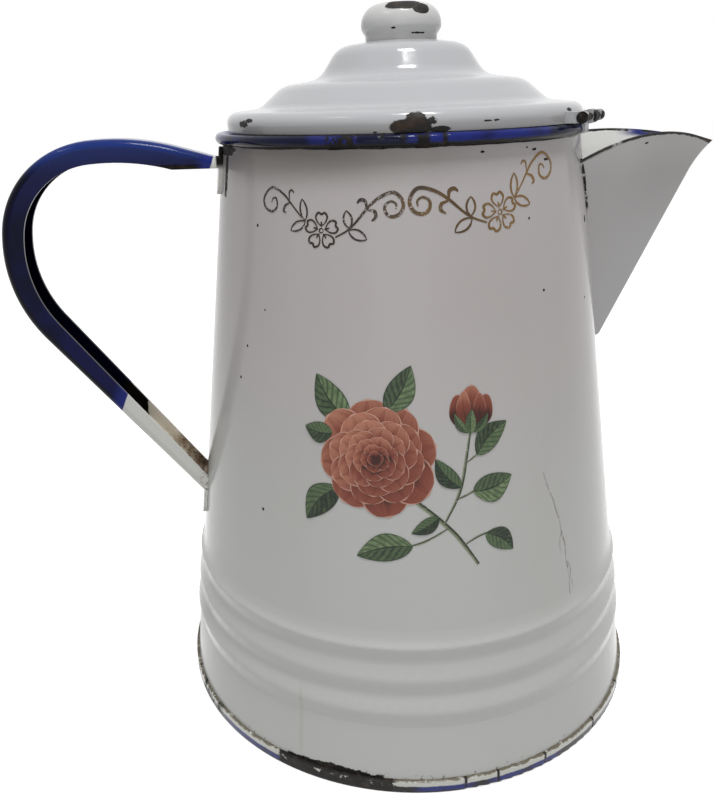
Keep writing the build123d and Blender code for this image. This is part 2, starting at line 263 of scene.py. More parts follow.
# Small round chips on the wall: azimuth in degrees, height and half width in millimetres
WALL_DOTS = [
    (-139.6, 83.8, 0.45),
    (-148.0, 133.7, 0.4),
    (-150.6, 123.1, 0.45),
    (-141.1, 146.1, 0.25),
    (-61.9, 150.4, 0.45),
    (-66.0, 171.5, 0.35),
    (-33.0, 166.8, 1.0),
]

# Strength of the reflection on most of the enamel, on the body, and on the dark dip of the handle
ENAMEL_SHINE = 0.25
BODY_SHINE = 0.12
DIP_SHINE = 0.08

# Change of roughness over the enamel's waves
WAVE_DULLNESS = 0.08

# Lamps, with their place, width, height and power; the light all round, and the floor
LAMPS = [
    ("overhead lamp", (0.06, -0.28, 1.3), 0.28, 0.28, 10.6),
    ("strip lamp", (-0.62, -0.24, 1.15), 0.34, 0.06, 1.0),
    ("front lamp", (-0.3, -1.28, 0.42), 0.8, 0.8, 2.3),
]
LAMP_AIM = (0, 0, 0.11)
LIGHT_ALL_ROUND = 0.26
FLOOR_GLOW = 0.72
FLOOR_DROP = 0.02 * MM

# Colours, in linear light
WHITE = (0.475, 0.447, 0.443, 1)
LID_WHITE = (0.455, 0.46, 0.475, 1)
# Painted light: paler white low on the wall
LIT_LOW_WHITE = (0.495, 0.5, 0.485, 1)
# Painted shade on the lower band of the lid
BAND_SHADE_WHITE = (0.33, 0.31, 0.27, 1)
# Painted light: paler white on the upward face of the foot
LIT_FOOT_WHITE = (0.56, 0.56, 0.52, 1)
KNOB_WHITE = (0.56, 0.56, 0.555, 1)
SPOUT_WHITE = (0.43, 0.42, 0.42, 1)
# Painted light: paler white inside the spout's fold
LIT_SPOUT_INSIDE = (0.68, 0.68, 0.66, 1)
HANDLE_WHITE = (0.6, 0.6, 0.57, 1)
HANDLE_CREAM = (0.72, 0.65, 0.53, 1)
SHADED_WHITE = (0.2, 0.185, 0.17, 1)
OLD_WHITE = (0.38, 0.355, 0.33, 1)
NAVY = (0.003, 0.004, 0.024, 1)
COBALT = (0.012, 0.02, 0.16, 1)
HANDLE_DARK = (0.0015, 0.002, 0.01, 1)
HANDLE_BLUE = (0.004, 0.0055, 0.05, 1)
# Painted highlight on the top of the handle
HANDLE_HIGHLIGHT_SLATE = (0.014, 0.032, 0.17, 1)
IRON = (0.006, 0.005, 0.0045, 1)
IRON_WORN = (0.038, 0.031, 0.025, 1)
RUST = (0.085, 0.045, 0.02, 1)
HANDLE_RUST = (0.22, 0.125, 0.055, 1)
OLIVE_RUST = (0.085, 0.065, 0.03, 1)
PETAL_DARK = (0.04, 0.008, 0.006, 1)
PETAL_RED = (0.19, 0.047, 0.028, 1)
PETAL_LIGHT = (0.46, 0.2, 0.13, 1)
PETAL_RIM = (0.62, 0.38, 0.29, 1)
LEAF_DARK = (0.012, 0.02, 0.012, 1)
LEAF_GREEN = (0.08, 0.125, 0.058, 1)
LEAF_LIGHT = (0.23, 0.31, 0.16, 1)
STEM_DARK = (0.03, 0.04, 0.022, 1)
STEM_LIGHT = (0.2, 0.23, 0.14, 1)
TARNISHED_GOLD = (0.035, 0.026, 0.02, 1)
OLD_GOLD = (0.2, 0.115, 0.035, 1)
CRACK_DIRT = (0.25, 0.225, 0.2, 1)
FLOOR_GREY = (0.8, 0.8, 0.8, 1)
PURE_WHITE = (1, 1, 1, 1)


def on_wall(azimuth, z, lift=0.0):
    """Point on the body's cone at an azimuth in degrees and a height."""
    taper = (WALL_LOW_RADIUS - WALL_TOP_RADIUS) / (WALL_TOP_Z - WALL_LOW_Z)
    radius = WALL_TOP_RADIUS + (WALL_TOP_Z - z) * taper + lift
    angle = math.radians(azimuth)
    return Vector((radius * math.cos(angle), radius * math.sin(angle), z))


def on_lid(azimuth, z, radius=LID_BAND_RADIUS):
    """Point on the lid's band, or at another radius from the lid's own axis."""
    hinge = math.radians(HINGE_AZIMUTH)
    angle = math.radians(azimuth)
    x = LID_OFFSET * math.cos(hinge) + radius * math.cos(angle)
    y = LID_OFFSET * math.sin(hinge) + radius * math.sin(angle)
    return Vector((x, y, z))


def put(node, values):
    """Set inputs of a node by their names."""
    for name, value in values.items():
        node.inputs[name].default_value = value


class Finish:
    """A material while its nodes are put together."""

    def __init__(self, name, roughness=0.25, shine=ENAMEL_SHINE):
        self.material = bpy.data.materials.new(name)
        self.material.use_nodes = True
        self.nodes = self.material.node_tree.nodes
        self.links = self.material.node_tree.links
        self.shader = self.nodes["Principled BSDF"]
        put(self.shader, {"Roughness": roughness, "Specular IOR Level": shine})
        self.place = self.nodes.new("ShaderNodeTexCoord").outputs["Object"]

    def feed(self, value, socket):
        """Join a socket to another, or set it to a plain value."""
        if isinstance(value, bpy.types.NodeSocket):
            self.links.new(value, socket)
        else:
            socket.default_value = value

    def calc(self, operation, *values):
        """Result of a sum on numbers."""
        node = self.nodes.new("ShaderNodeMath")
        node.operation = operation
        for value, socket in zip(values, node.inputs):
            self.feed(value, socket)
        return node.outputs[0]

    def vector(self, operation, *values):
        """Result of a sum on vectors."""
        node = self.nodes.new("ShaderNodeVectorMath")
        node.operation = operation
        for value, socket in zip(values, node.inputs):
            self.feed(value, socket)
        return node.outputs["Value" if operation == "DOT_PRODUCT" else "Vector"]

    def axes(self, vector=None):
        """The three parts of a vector."""
        node = self.nodes.new("ShaderNodeSeparateXYZ")
        self.feed(vector or self.place, node.inputs[0])
        return node.outputs

    def azimuth(self):
        """Angle round the pot's axis, in degrees."""
        x, y, _ = self.axes()
        return self.share(self.calc("ARCTAN2", y, x), 180 / math.pi)

    def mix(self, amount, first, second):
        """Colour between two others."""
        node = self.nodes.new("ShaderNodeMix")
        node.data_type = "RGBA"
        self.feed(amount, node.inputs["Factor"])
        self.feed(first, node.inputs[6])
        self.feed(second, node.inputs[7])
        return node.outputs[2]

    def step(self, value, low, high):
        """Smooth rise from 0 at low to 1 at high, or a fall where high is below low."""
        node = self.nodes.new("ShaderNodeMapRange")
        node.interpolation_type = "SMOOTHSTEP"
        self.feed(value, node.inputs["Value"])
        ends = (0.0, 1.0) if high > low else (1.0, 0.0)
        put(node, {"From Min": min(low, high), "From Max": max(low, high)})
        put(node, {"To Min": ends[0], "To Max": ends[1]})
        return node.outputs["Result"]

    def noise(self, scale, detail, roughness, stretch=(1, 1, 1)):
        """Even grain about 0.5, scaled per metre."""
        node = self.nodes.new("ShaderNodeTexNoise")
        self.feed(self.vector("MULTIPLY", self.place, stretch), node.inputs["Vector"])
        put(node, {"Scale": scale, "Detail": detail, "Roughness": roughness})
        return node.outputs["Fac"]

    def ragged(self, grain, amount):
        """Grain turned into an offset about 0."""
        return self.share(self.calc("SUBTRACT", grain, 0.5), amount)

    def frayed(self, value, grain, amount):
        """A value with a ragged offset."""
        return self.calc("ADD", value, self.ragged(grain, amount))

    def spot(self, centre, across, height, grain, rough, depth=6 * MM):
        """Patch of the given half width and half height round a point, with a ragged edge."""
        outward = Vector((centre.x, centre.y, 0)).normalized()
        side = Vector((-outward.y, outward.x, 0))
        away = self.vector("SUBTRACT", self.place, centre)
        ways = (side / across, (0, 0, 1 / height), outward / depth)
        parts = [self.vector("DOT_PRODUCT", away, way) for way in ways]
        squares = [self.calc("MULTIPLY", part, part) for part in parts]
        total = self.calc("ADD", self.calc("ADD", squares[0], squares[1]), squares[2])
        reach = self.frayed(self.calc("SQRT", total), grain, rough)
        return self.step(reach, 1.06, 0.94)

    def chips_at(self, rows, place, grains):
        """The chips of a table, each at the point that place() gives for its azimuth and height."""
        return [
            self.spot(place(turn, z * MM), across * MM, tall * MM, grains[grain], rough)
            for turn, z, across, tall, grain, rough in rows
        ]

    def either(self, *masks):
        """Where at least one of the masks is set."""
        total = masks[0]
        for mask in masks[1:]:
            total = self.calc("MAXIMUM", total, mask)
        return total

    def both(self, first, *others):
        """Where all the masks are set."""
        for mask in others:
            first = self.calc("MULTIPLY", first, mask)
        return first

    def share(self, mask, amount):
        """A mask or value times a number."""
        return self.calc("MULTIPLY", mask, amount)

    def without(self, mask):
        """Where a mask is not set."""
        return self.calc("SUBTRACT", 1.0, mask)

    def between(self, value, low, high, soft):
        """1 inside a range of values, with soft ends."""
        rise = self.step(value, low - soft, low + soft)
        return self.both(rise, self.step(value, high + soft, high - soft))

    def paint(self, colour):
        """Give the surface its colour."""
        self.feed(colour, self.shader.inputs["Base Color"])

    def raised(self, height, distance, strength=1.0):
        """Relief on the surface from a height map."""
        node = self.nodes.new("ShaderNodeBump")
        put(node, {"Strength": strength, "Distance": distance})
        self.feed(height, node.inputs["Height"])
        self.feed(node.outputs["Normal"], self.shader.inputs["Normal"])

    def bare_iron(self):
        """Colour of the metal under a chip: nearly black, with worn brown places."""
        worn = self.step(self.noise(420, 5, 0.7), 0.48, 0.7)
        rusty = self.share(self.step(self.noise(150, 3, 0.6), 0.55, 0.75), 0.35)
        return self.mix(rusty, self.mix(worn, IRON, IRON_WORN), RUST)

    def finish(self, colour, chips, roughness):
        """Enamel of a colour that is broken by chips down to the iron."""
        self.paint(self.mix(chips, colour, self.bare_iron()))
        waves = self.noise(55, 2, 0.5)
        pits = self.noise(900, 2, 0.5)
        dull = self.calc("ADD", self.share(chips, 0.5), self.share(waves, WAVE_DULLNESS))
        dull = self.calc("ADD", dull, roughness - WAVE_DULLNESS / 2)
        self.feed(dull, self.shader.inputs["Roughness"])
        relief = self.calc("ADD", self.without(chips), self.share(self.both(chips, pits), 0.5))
        relief = self.calc("ADD", relief, self.share(waves, 0.12))
        self.raised(relief, 0.25 * MM)
        return self.material


def white_colour(finish, clean, paler_low_white=None):
    """White enamel with faint stains, and a paler, cooler white low down where one is given, as painted
    light.
    """
    stain = finish.step(finish.noise(14, 4, 0.6, (1, 1, 0.35)), 0.45, 0.8)
    if paler_low_white:
        # Painted light: the white grows paler and cooler towards the bottom of the wall.
        low = finish.step(finish.axes()[2], 150 * MM, 70 * MM)
        clean = finish.mix(low, clean, paler_low_white)
    return finish.mix(finish.share(stain, 0.3), clean, OLD_WHITE)


def specks(finish, scale, size):
    """Mask of a few tiny pits."""
    node = finish.nodes.new("ShaderNodeTexVoronoi")
    put(node, {"Scale": scale})
    finish.feed(finish.place, node.inputs["Vector"])
    small = finish.step(node.outputs["Distance"], size, size * 0.5)
    chosen = finish.step(finish.axes(node.outputs["Color"])[0], 0.9, 0.92)
    return finish.both(small, chosen)


def rim_dip(finish, z, turn, coarse, fine):
    """The dipped rim: its mask, its blue, darker beneath the bead as a black line that is partly worn
    edge and partly painted shadow, and its chips.
    """
    drip = finish.noise(120, 3, 0.5, (1, 1, 0.1))
    drip_z = finish.frayed(z, drip, 0.8 * MM)
    dipped = finish.step(drip_z, RIM_DIP_Z - 0.1 * MM, RIM_DIP_Z + 0.1 * MM)
    tint = finish.step(finish.noise(60, 3, 0.5), 0.4, 0.6)
    ragged_z = finish.frayed(z, fine, 0.7 * MM)
    # Black line under the bead: partly the dip's edge worn to iron, partly painted shadow.
    under = finish.step(ragged_z, RIM_DIP_Z + 1.7 * MM, RIM_DIP_Z + 1.2 * MM)
    blue = finish.mix(under, finish.mix(tint, NAVY, COBALT), IRON)
    worn_patches = finish.either(*[finish.between(turn, low, high, 0.7) for low, high in RIM_WORN])
    worn_patches = finish.both(worn_patches, finish.step(coarse, 0.42, 0.47))
    worn_else = finish.step(finish.noise(190, 4, 0.6), 0.68, 0.71)
    return dipped, blue, finish.both(dipped, finish.either(worn_patches, worn_else))


def body_enamel():
    """White wall with the blue dipped rim, its chips, the marks along the foot, and painted shade under
    the rim.
    """
    finish = Finish("white enamel of the body", shine=BODY_SHINE)
    z = finish.axes()[2]
    turn = finish.azimuth()
    coarse = finish.noise(260, 4, 0.65)
    fine = finish.noise(800, 4, 0.65)
    dipped, blue, rim_chips = rim_dip(finish, z, turn, coarse, fine)
    dots = [
        finish.spot(on_wall(azimuth, height * MM), size * MM, 1.1 * size * MM, fine, 1.2)
        for azimuth, height, size in WALL_DOTS
    ]
    wall_chips = finish.chips_at(WALL_CHIPS, on_wall, {"fine": fine})
    # Dark corner under the bead by the handle, drawn as bare iron: partly a chip, partly painted shade.
    dark_corner_chip_and_shade = finish.spot(on_wall(-168, 191.6 * MM), 9 * MM, 2.0 * MM, coarse, 1.0)
    tab_line = finish.both(
        finish.between(finish.frayed(turn, coarse, 1.8), -168.4, -165.4, 0.3),
        finish.between(z, 177 * MM, 191 * MM, 0.5 * MM),
        finish.step(finish.noise(300, 3, 0.6), 0.34, 0.42),
    )
    off_centre = finish.calc("ABSOLUTE", finish.calc("SUBTRACT", turn, sum(FOOT_CHIP) / 2))
    chip_top = finish.frayed(z, finish.noise(330, 4, 0.7), 3.2 * MM)
    chip_top = finish.calc("ADD", chip_top, finish.share(off_centre, 0.11 * MM))
    foot_chip = finish.both(
        finish.between(finish.frayed(turn, coarse, 6.0), *FOOT_CHIP, 0.4),
        finish.step(chip_top, FOOT_BAND_Z + 2.1 * MM, FOOT_BAND_Z + 1.8 * MM),
    )
    pits = specks(finish, 60, 0.035)
    chips = finish.either(rim_chips, dark_corner_chip_and_shade, *wall_chips, *dots, tab_line, foot_chip, pits)
    seam = finish.frayed(z, finish.noise(420, 4, 0.7), 1.2 * MM)
    foot_line = finish.step(seam, FOOT_BAND_Z + 0.25 * MM, FOOT_BAND_Z - 0.05 * MM)
    foot_specks = finish.both(
        finish.step(finish.noise(600, 3, 0.7), 0.6, 0.66),
        finish.step(z, FOOT_BAND_Z + 2.2 * MM, FOOT_BAND_Z + 0.6 * MM),
    )
    side_seam = finish.both(
        finish.between(turn, -127.1, -126.1, 0.3),
        finish.between(z, 7 * MM, 30 * MM, 2 * MM),
    )
    # Painted shade under the rim: darker towards the bead, more on the left.
    painted_shade = finish.both(finish.step(z, 179 * MM, 192 * MM), finish.step(turn, -60, -130))
    white = white_colour(finish, WHITE, LIT_LOW_WHITE)
    white = finish.mix(finish.share(painted_shade, 0.9), white, SHADED_WHITE)
    white = finish.mix(finish.share(side_seam, 0.3), white, OLD_WHITE)
    white = finish.mix(finish.share(finish.either(foot_line, foot_specks), 0.85), white, OLIVE_RUST)
    return finish.finish(finish.mix(dipped, white, blue), chips, 0.16)


def foot_enamel():
    """Seam round the foot: white above, blue dip below, with a long chip and dark ticks."""
    finish = Finish("white enamel of the foot")
    z = finish.axes()[2]
    turn = finish.azimuth()
    coarse = finish.noise(260, 4, 0.65)
    fine = finish.noise(700, 4, 0.65)
    level = finish.frayed(z, coarse, 0.9 * MM)
    low = finish.step(level, 3.0 * MM, 2.5 * MM)
    blue_parts = finish.either(*[finish.between(turn, *ends, 2.0) for ends in FOOT_BLUE])
    dip = finish.mix(finish.both(blue_parts, finish.step(coarse, 0.36, 0.46)), IRON, COBALT)
    flakes = finish.both(
        finish.step(finish.noise(330, 3, 0.6), 0.57, 0.6),
        finish.between(z, 2.6 * MM, 4.0 * MM, 0.3 * MM),
    )
    frayed_turn = finish.frayed(turn, coarse, 6.0)
    first, last = FOOT_CHIP[0] - FOOT_CHIP_ENDS, FOOT_CHIP[1] + FOOT_CHIP_ENDS
    long_chip = finish.both(finish.between(frayed_turn, first, last, 0.4), finish.without(flakes))
    left_wear = finish.both(
        finish.between(turn, -175, -152, 4.0),
        finish.step(finish.noise(260, 4, 0.75), 0.5, 0.56),
    )
    edge = finish.step(level, 1.1 * MM, 0.8 * MM)
    ticks = finish.either(*[finish.between(turn, tick - 0.3, tick + 0.3, 0.15) for tick in FOOT_TICKS])
    ticks = finish.both(ticks, finish.step(fine, 0.38, 0.44))
    top_level = finish.calc("SUBTRACT", level, finish.ragged(fine, 1.2 * MM))
    top_line = finish.step(top_level, 4.2 * MM, 4.45 * MM)
    marks = finish.both(
        finish.step(finish.noise(560, 3, 0.7), 0.64, 0.69), finish.step(level, 1.6 * MM, 3.2 * MM)
    )
    # The white of the foot is painted paler than the wall, as painted light on its upward face.
    colour = finish.mix(low, white_colour(finish, LIT_FOOT_WHITE), dip)
    colour = finish.mix(finish.share(finish.either(top_line, marks), 0.85), colour, OLIVE_RUST)
    return finish.finish(colour, finish.either(long_chip, left_wear, edge, ticks), 0.16)


def lid_enamel():
    """White lid with one large chip on its band and a few small ones, and painted shade low on the
    band.
    """
    finish = Finish("white enamel of the lid")
    coarse = finish.noise(190, 5, 0.65)
    fine = finish.noise(700, 4, 0.65)
    jagged = finish.calc("ADD", finish.share(coarse, 0.5), finish.share(fine, 0.5))
    grains = {"coarse": coarse, "fine": fine, "jagged": jagged}
    chips = finish.either(*finish.chips_at(LID_CHIPS, on_lid, grains), specks(finish, 50, 0.03))
    # Painted shade low on the band, darker and warmer towards the bead.
    painted_shade = finish.step(finish.axes()[2], 200 * MM, 196.6 * MM)
    white = finish.mix(finish.share(painted_shade, 0.5), white_colour(finish, LID_WHITE), BAND_SHADE_WHITE)
    return finish.finish(white, chips, 0.14)


def knob_enamel():
    """White knob with its top worn to the iron."""
    finish = Finish("white enamel of the knob")
    coarse = finish.noise(240, 5, 0.65)
    fine = finish.noise(800, 4, 0.6)
    chips = finish.either(
        finish.spot(on_lid(-98, 232.9 * MM, 8.8 * MM), 5.6 * MM, 1.9 * MM, coarse, 0.7, 4.5 * MM),
        finish.spot(on_lid(-69, 231.6 * MM, 10.2 * MM), 3.4 * MM, 1.9 * MM, coarse, 0.8, 4.5 * MM),
        finish.spot(on_lid(-113, 226.1 * MM, KNOB_RADIUS), 0.7 * MM, 0.3 * MM, fine, 1.8),
        finish.spot(on_lid(-76, 224.5 * MM, KNOB_RADIUS), 2.6 * MM, 0.3 * MM, fine, 1.9),
    )
    return finish.finish(white_colour(finish, KNOB_WHITE), chips, 0.16)


def spout_inside(finish, x, y, z):
    """Mask of the faces inside the spout's fold: those behind its outer face at a height."""
    rise = finish.calc("SUBTRACT", z, SPOUT_FLARE[1])
    bent = finish.calc("POWER", finish.calc("MAXIMUM", rise, 0.0), 2.0)
    keel_x = finish.calc("ADD", finish.share(rise, KEEL_LEAN), SPOUT_FLARE[0])
    keel_x = finish.calc("ADD", keel_x, finish.share(bent, FLARE_CURL))
    side_run = finish.calc("DIVIDE", finish.calc("ABSOLUTE", y), KEEL_LEAN)
    behind = finish.calc("SUBTRACT", keel_x, finish.calc("ADD", x, side_run))
    return finish.step(behind, 0.9 * MM, 1.4 * MM)


def spout_enamel():
    """White spout whose upper edge was dipped blue and has worn to black."""
    finish = Finish("white enamel of the spout")
    x, y, z = finish.axes()
    coarse = finish.noise(300, 4, 0.65)
    fine = finish.noise(900, 4, 0.6)
    run = finish.calc("SUBTRACT", x, SPOUT_ARCH_X)
    drop = finish.calc("SUBTRACT", SPOUT_ARCH_RADIUS**2, finish.calc("MULTIPLY", run, run))
    arch = finish.calc("ADD", finish.calc("SQRT", drop), SPOUT_ARCH_Z)
    below = finish.frayed(finish.calc("SUBTRACT", arch, z), coarse, 1.0 * MM)
    white_gap = finish.between(x, 62.5 * MM, 66.0 * MM, 1.0 * MM)
    white_gap = finish.both(white_gap, finish.step(fine, 0.42, 0.5))
    edge = finish.both(finish.step(below, 0.95 * MM, 0.7 * MM), finish.without(white_gap))
    far_side = finish.both(finish.step(y, 3 * MM, 5 * MM), finish.between(x, 89 * MM, 104 * MM, 4 * MM))
    inner_dip = finish.both(far_side, finish.step(below, 3.0 * MM, 1.4 * MM))
    stained = finish.both(finish.step(x, 66 * MM, 61 * MM), finish.step(below, 1.7 * MM, 0.6 * MM))
    inside = spout_inside(finish, x, y, z)
    shaded = finish.both(
        finish.step(x, 64 * MM, 92 * MM),
        finish.step(z, 150 * MM, 182 * MM),
        finish.without(inside),
    )
    # Painted light: the faces inside the fold are painted paler than the outer face.
    colour = finish.mix(inside, white_colour(finish, SPOUT_WHITE), white_colour(finish, LIT_SPOUT_INSIDE))
    colour = finish.mix(finish.share(shaded, 0.28), colour, SHADED_WHITE)
    colour = finish.mix(finish.share(stained, 0.6), colour, OLIVE_RUST)
    colour = finish.mix(inner_dip, colour, COBALT)
    kept_blue = finish.both(far_side, finish.step(coarse, 0.4, 0.5))
    chip_place = Vector((76.4 * MM, -20 * MM, 188.3 * MM))
    chips = finish.either(
        finish.both(edge, finish.without(kept_blue)),
        finish.spot(chip_place, 0.6 * MM, 0.35 * MM, fine, 1.6),
        finish.spot(on_wall(-32.4, 166.8 * MM), 1.0 * MM, 0.55 * MM, fine, 1.0),
        specks(finish, 60, 0.035),
    )
    return finish.finish(colour, chips, 0.2)


def handle_blue(finish, x, z, side, dip_end):
    """Blue of the handle: thick and dark on the flanges, near-black off them as painted shade, lighter
    on top and at the rim end as painted highlights, and lighter at the dip's end.
    """
    flange = finish.step(side, 6.85 * MM, 6.99 * MM)
    top = finish.step(z, 184 * MM, 193 * MM)
    # Painted shade: off the outer flange faces, on the web, its bends and inside the channel, the blue
    # is painted near-black.
    blue = finish.mix(flange, HANDLE_DARK, HANDLE_BLUE)
    # Painted highlight: lighter slate blue along the top of the handle.
    blue = finish.mix(finish.both(top, finish.without(finish.share(flange, 0.5))), blue, HANDLE_HIGHLIGHT_SLATE)
    thick_glaze = finish.both(
        flange,
        finish.step(finish.noise(45, 3, 0.5), 0.38, 0.58),
        finish.step(z, 192 * MM, 182 * MM),
    )
    blue = finish.mix(finish.share(thick_glaze, 0.8), blue, HANDLE_DARK)
    # Painted highlight: lighter cobalt at the strap's rim end.
    blue = finish.mix(finish.step(x, -66 * MM, -63.5 * MM), blue, COBALT)
    return finish.mix(dip_end, blue, COBALT)


def handle_enamel():
    """Blue handle whose lowest part was left white, with rust inside the channel."""
    finish = Finish("blue enamel of the handle", shine=DIP_SHINE)
    x, y, z = finish.axes()
    coarse = finish.noise(200, 4, 0.65)
    fine = finish.noise(700, 4, 0.65)
    side = finish.calc("ABSOLUTE", y)
    outward = finish.vector("SUBTRACT", finish.place, LOWER_RUN_START)
    outward = finish.vector("DOT_PRODUCT", outward, LOWER_RUN_NORMAL)
    channel = finish.both(
        finish.step(side, 6.0 * MM, 5.85 * MM),
        finish.step(outward, -0.5 * MM, -0.7 * MM),
        finish.step(z, 128 * MM, 125 * MM),
    )
    elsewhere = finish.without(channel)
    past_dip = finish.vector("SUBTRACT", finish.place, DIP_EDGE)
    past_dip = finish.vector("DOT_PRODUCT", past_dip, DIP_EDGE_NORMAL)
    past_dip = finish.frayed(past_dip, finish.noise(110, 2, 0.5), 1.0 * MM)
    inner_x = finish.frayed(x, coarse, 2.0 * MM)
    blue_outside = finish.both(elsewhere, finish.step(past_dip, 0.2 * MM, -0.2 * MM))
    blue_inside = finish.both(channel, finish.step(inner_x, -92.0 * MM, -92.5 * MM))
    tip = finish.step(finish.frayed(x, fine, 1.2 * MM), -60.9 * MM, -61.4 * MM)
    blue_part = finish.both(finish.calc("ADD", blue_inside, blue_outside), tip)
    dip_end = finish.both(elsewhere, finish.step(past_dip, -6 * MM, -1 * MM))
    blue = handle_blue(finish, x, z, side, dip_end)
    rust_growth = finish.step(finish.frayed(x, coarse, 26 * MM), -90 * MM, -74 * MM)
    rusty = finish.both(channel, finish.step(finish.frayed(rust_growth, fine, 1.2), 0.1, 1.1))
    corner = finish.both(
        finish.step(x, -76.5 * MM, -73 * MM),
        finish.between(z, 69 * MM, 80 * MM, 2 * MM),
        finish.step(fine, 0.5, 0.62),
    )
    rust = finish.mix(finish.step(x, -82 * MM, -71 * MM), HANDLE_RUST, RUST)
    white = finish.mix(finish.share(channel, 0.8), white_colour(finish, HANDLE_WHITE), HANDLE_CREAM)
    white = finish.mix(finish.share(finish.either(rusty, corner), 0.9), white, rust)
    lower_edge = finish.both(
        finish.between(x, -80 * MM, -67 * MM, 2 * MM),
        finish.step(side, 6.5 * MM, 6.9 * MM),
        finish.between(finish.frayed(z, coarse, 1.6 * MM), 180 * MM, 187.0 * MM, 0.2 * MM),
    )
    black_rust = finish.both(
        rusty,
        finish.step(finish.noise(900, 3, 0.7), 0.56, 0.62),
        finish.step(x, -86 * MM, -80 * MM),
    )
    torn_end = finish.both(finish.step(x, -61.6 * MM, -61.1 * MM), finish.step(z, 184.5 * MM, 187 * MM))
    black_end = finish.both(channel, finish.between(inner_x, -99.5 * MM, -92.2 * MM, 0.4 * MM))
    colour = finish.mix(black_end, finish.mix(blue_part, white, blue), IRON)
    return finish.finish(colour, finish.either(lower_edge, torn_end, black_rust), 0.12)


def hinge_enamel():
    """White crusty hinge parts, worn black only at the very ends."""
    finish = Finish("white enamel of the hinge")
    grain = finish.noise(420, 4, 0.65)
    angle = math.radians(HINGE_AZIMUTH)
    out = finish.vector("DOT_PRODUCT", finish.place, (math.cos(angle), math.sin(angle), 0))
    far = finish.frayed(out, grain, 1.2 * MM)
    ends = finish.step(far, PIN_REACH + 0.9 * MM, PIN_REACH + 1.3 * MM)
    dents = finish.step(grain, 0.62, 0.66)
    dirt = finish.step(finish.noise(900, 3, 0.7), 0.52, 0.7)
    white = finish.mix(finish.share(dirt, 0.6), LID_WHITE, OLD_WHITE)
    return finish.finish(white, finish.either(ends, dents), 0.3)


def pin_steel():
    """Dark steel of the hinge pin."""
    finish = Finish("dark steel of the pin", 0.55)
    finish.paint(finish.bare_iron())
    put(finish.shader, {"Metallic": 0.6})
    finish.raised(finish.noise(900, 3, 0.6), 0.1 * MM, 0.6)
    return finish.material


def dress_frame():
    """Finishes of all the pieces that come from the frame."""
    lid, hinge = lid_enamel(), hinge_enamel()
    finishes = {
        "body_shell": body_enamel(),
        "base_pan": foot_enamel(),
        "spout_shell": spout_enamel(),
        "handle_strap": handle_enamel(),
        "rim_hinge_lug": hinge,
        "lid_dome": lid,
        "lid_collar": lid,
        "knob_shell": knob_enamel(),
        "lid_hinge_yoke": hinge,
        "hinge_pin": pin_steel(),
    }
    for node, material in finishes.items():
        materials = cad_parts[node].data.materials
        materials.clear()
        materials.append(material)


def print_ink(name):
    """Start of a material for a print, with its own tone and place along the print's pieces."""
    finish = Finish(name, 0.3)
    tone = finish.nodes.new("ShaderNodeAttribute")
    tone.attribute_name = "tone"
    along, side, _ = finish.axes(finish.nodes["Texture Coordinate"].outputs["UV"])
    return finish, tone.outputs["Fac"], along, side


def grain_on_print(finish, along, side, fine_along, fine_side):
    """Streaks that follow a printed petal or leaf."""
    node = finish.nodes.new("ShaderNodeCombineXYZ")
    parts = [(along, fine_along), (side, fine_side), (finish.axes()[0], 40.0)]
    for (part, fineness), socket in zip(parts, node.inputs):
        finish.feed(finish.share(part, fineness), socket)
    noise = finish.nodes.new("ShaderNodeTexNoise")
    put(noise, {"Scale": 1.0, "Detail": 4.0})
    finish.feed(node.outputs[0], noise.inputs["Vector"])
    return noise.outputs["Fac"]


def worn_print(finish, colour, amount=0.7):
    """Print with pinholes through which the enamel shows."""
    pits = finish.both(
        finish.step(finish.noise(2600, 2, 0.6), amount, amount + 0.04),
        finish.step(finish.noise(110, 2, 0.5), 0.5, 0.62),
    )
    finish.paint(finish.mix(pits, colour, WHITE))
    return finish.material


def petal_ink():
    """Terracotta petals: dark towards the heart, with fine streaks and a pale rim."""
    finish, tone, along, side = print_ink("terracotta print of the petals")
    streaks = grain_on_print(finish, along, side, 2.0, 26.0)
    middle = finish.calc("ABSOLUTE", finish.calc("SUBTRACT", side, 0.5))
    light = finish.step(along, 0.35, 1.0)
    light = finish.calc("MULTIPLY_ADD", light, 0.75, finish.ragged(streaks, 0.55))
    light = finish.calc("ADD", light, finish.ragged(tone, 0.85))
    light = finish.calc("SUBTRACT", light, finish.share(finish.step(middle, 0.12, 0.0), 0.12))
    colour = finish.mix(finish.step(light, -0.05, 0.45), PETAL_DARK, PETAL_RED)
    colour = finish.mix(finish.step(light, 0.4, 1.15), colour, PETAL_LIGHT)
    rim = finish.either(finish.step(along, 0.955, 0.985), finish.step(middle, 0.455, 0.485))
    rim = finish.both(rim, finish.step(along, 0.5, 0.75))
    colour = finish.mix(finish.share(rim, 0.7), colour, PETAL_RIM)
    return worn_print(finish, colour)


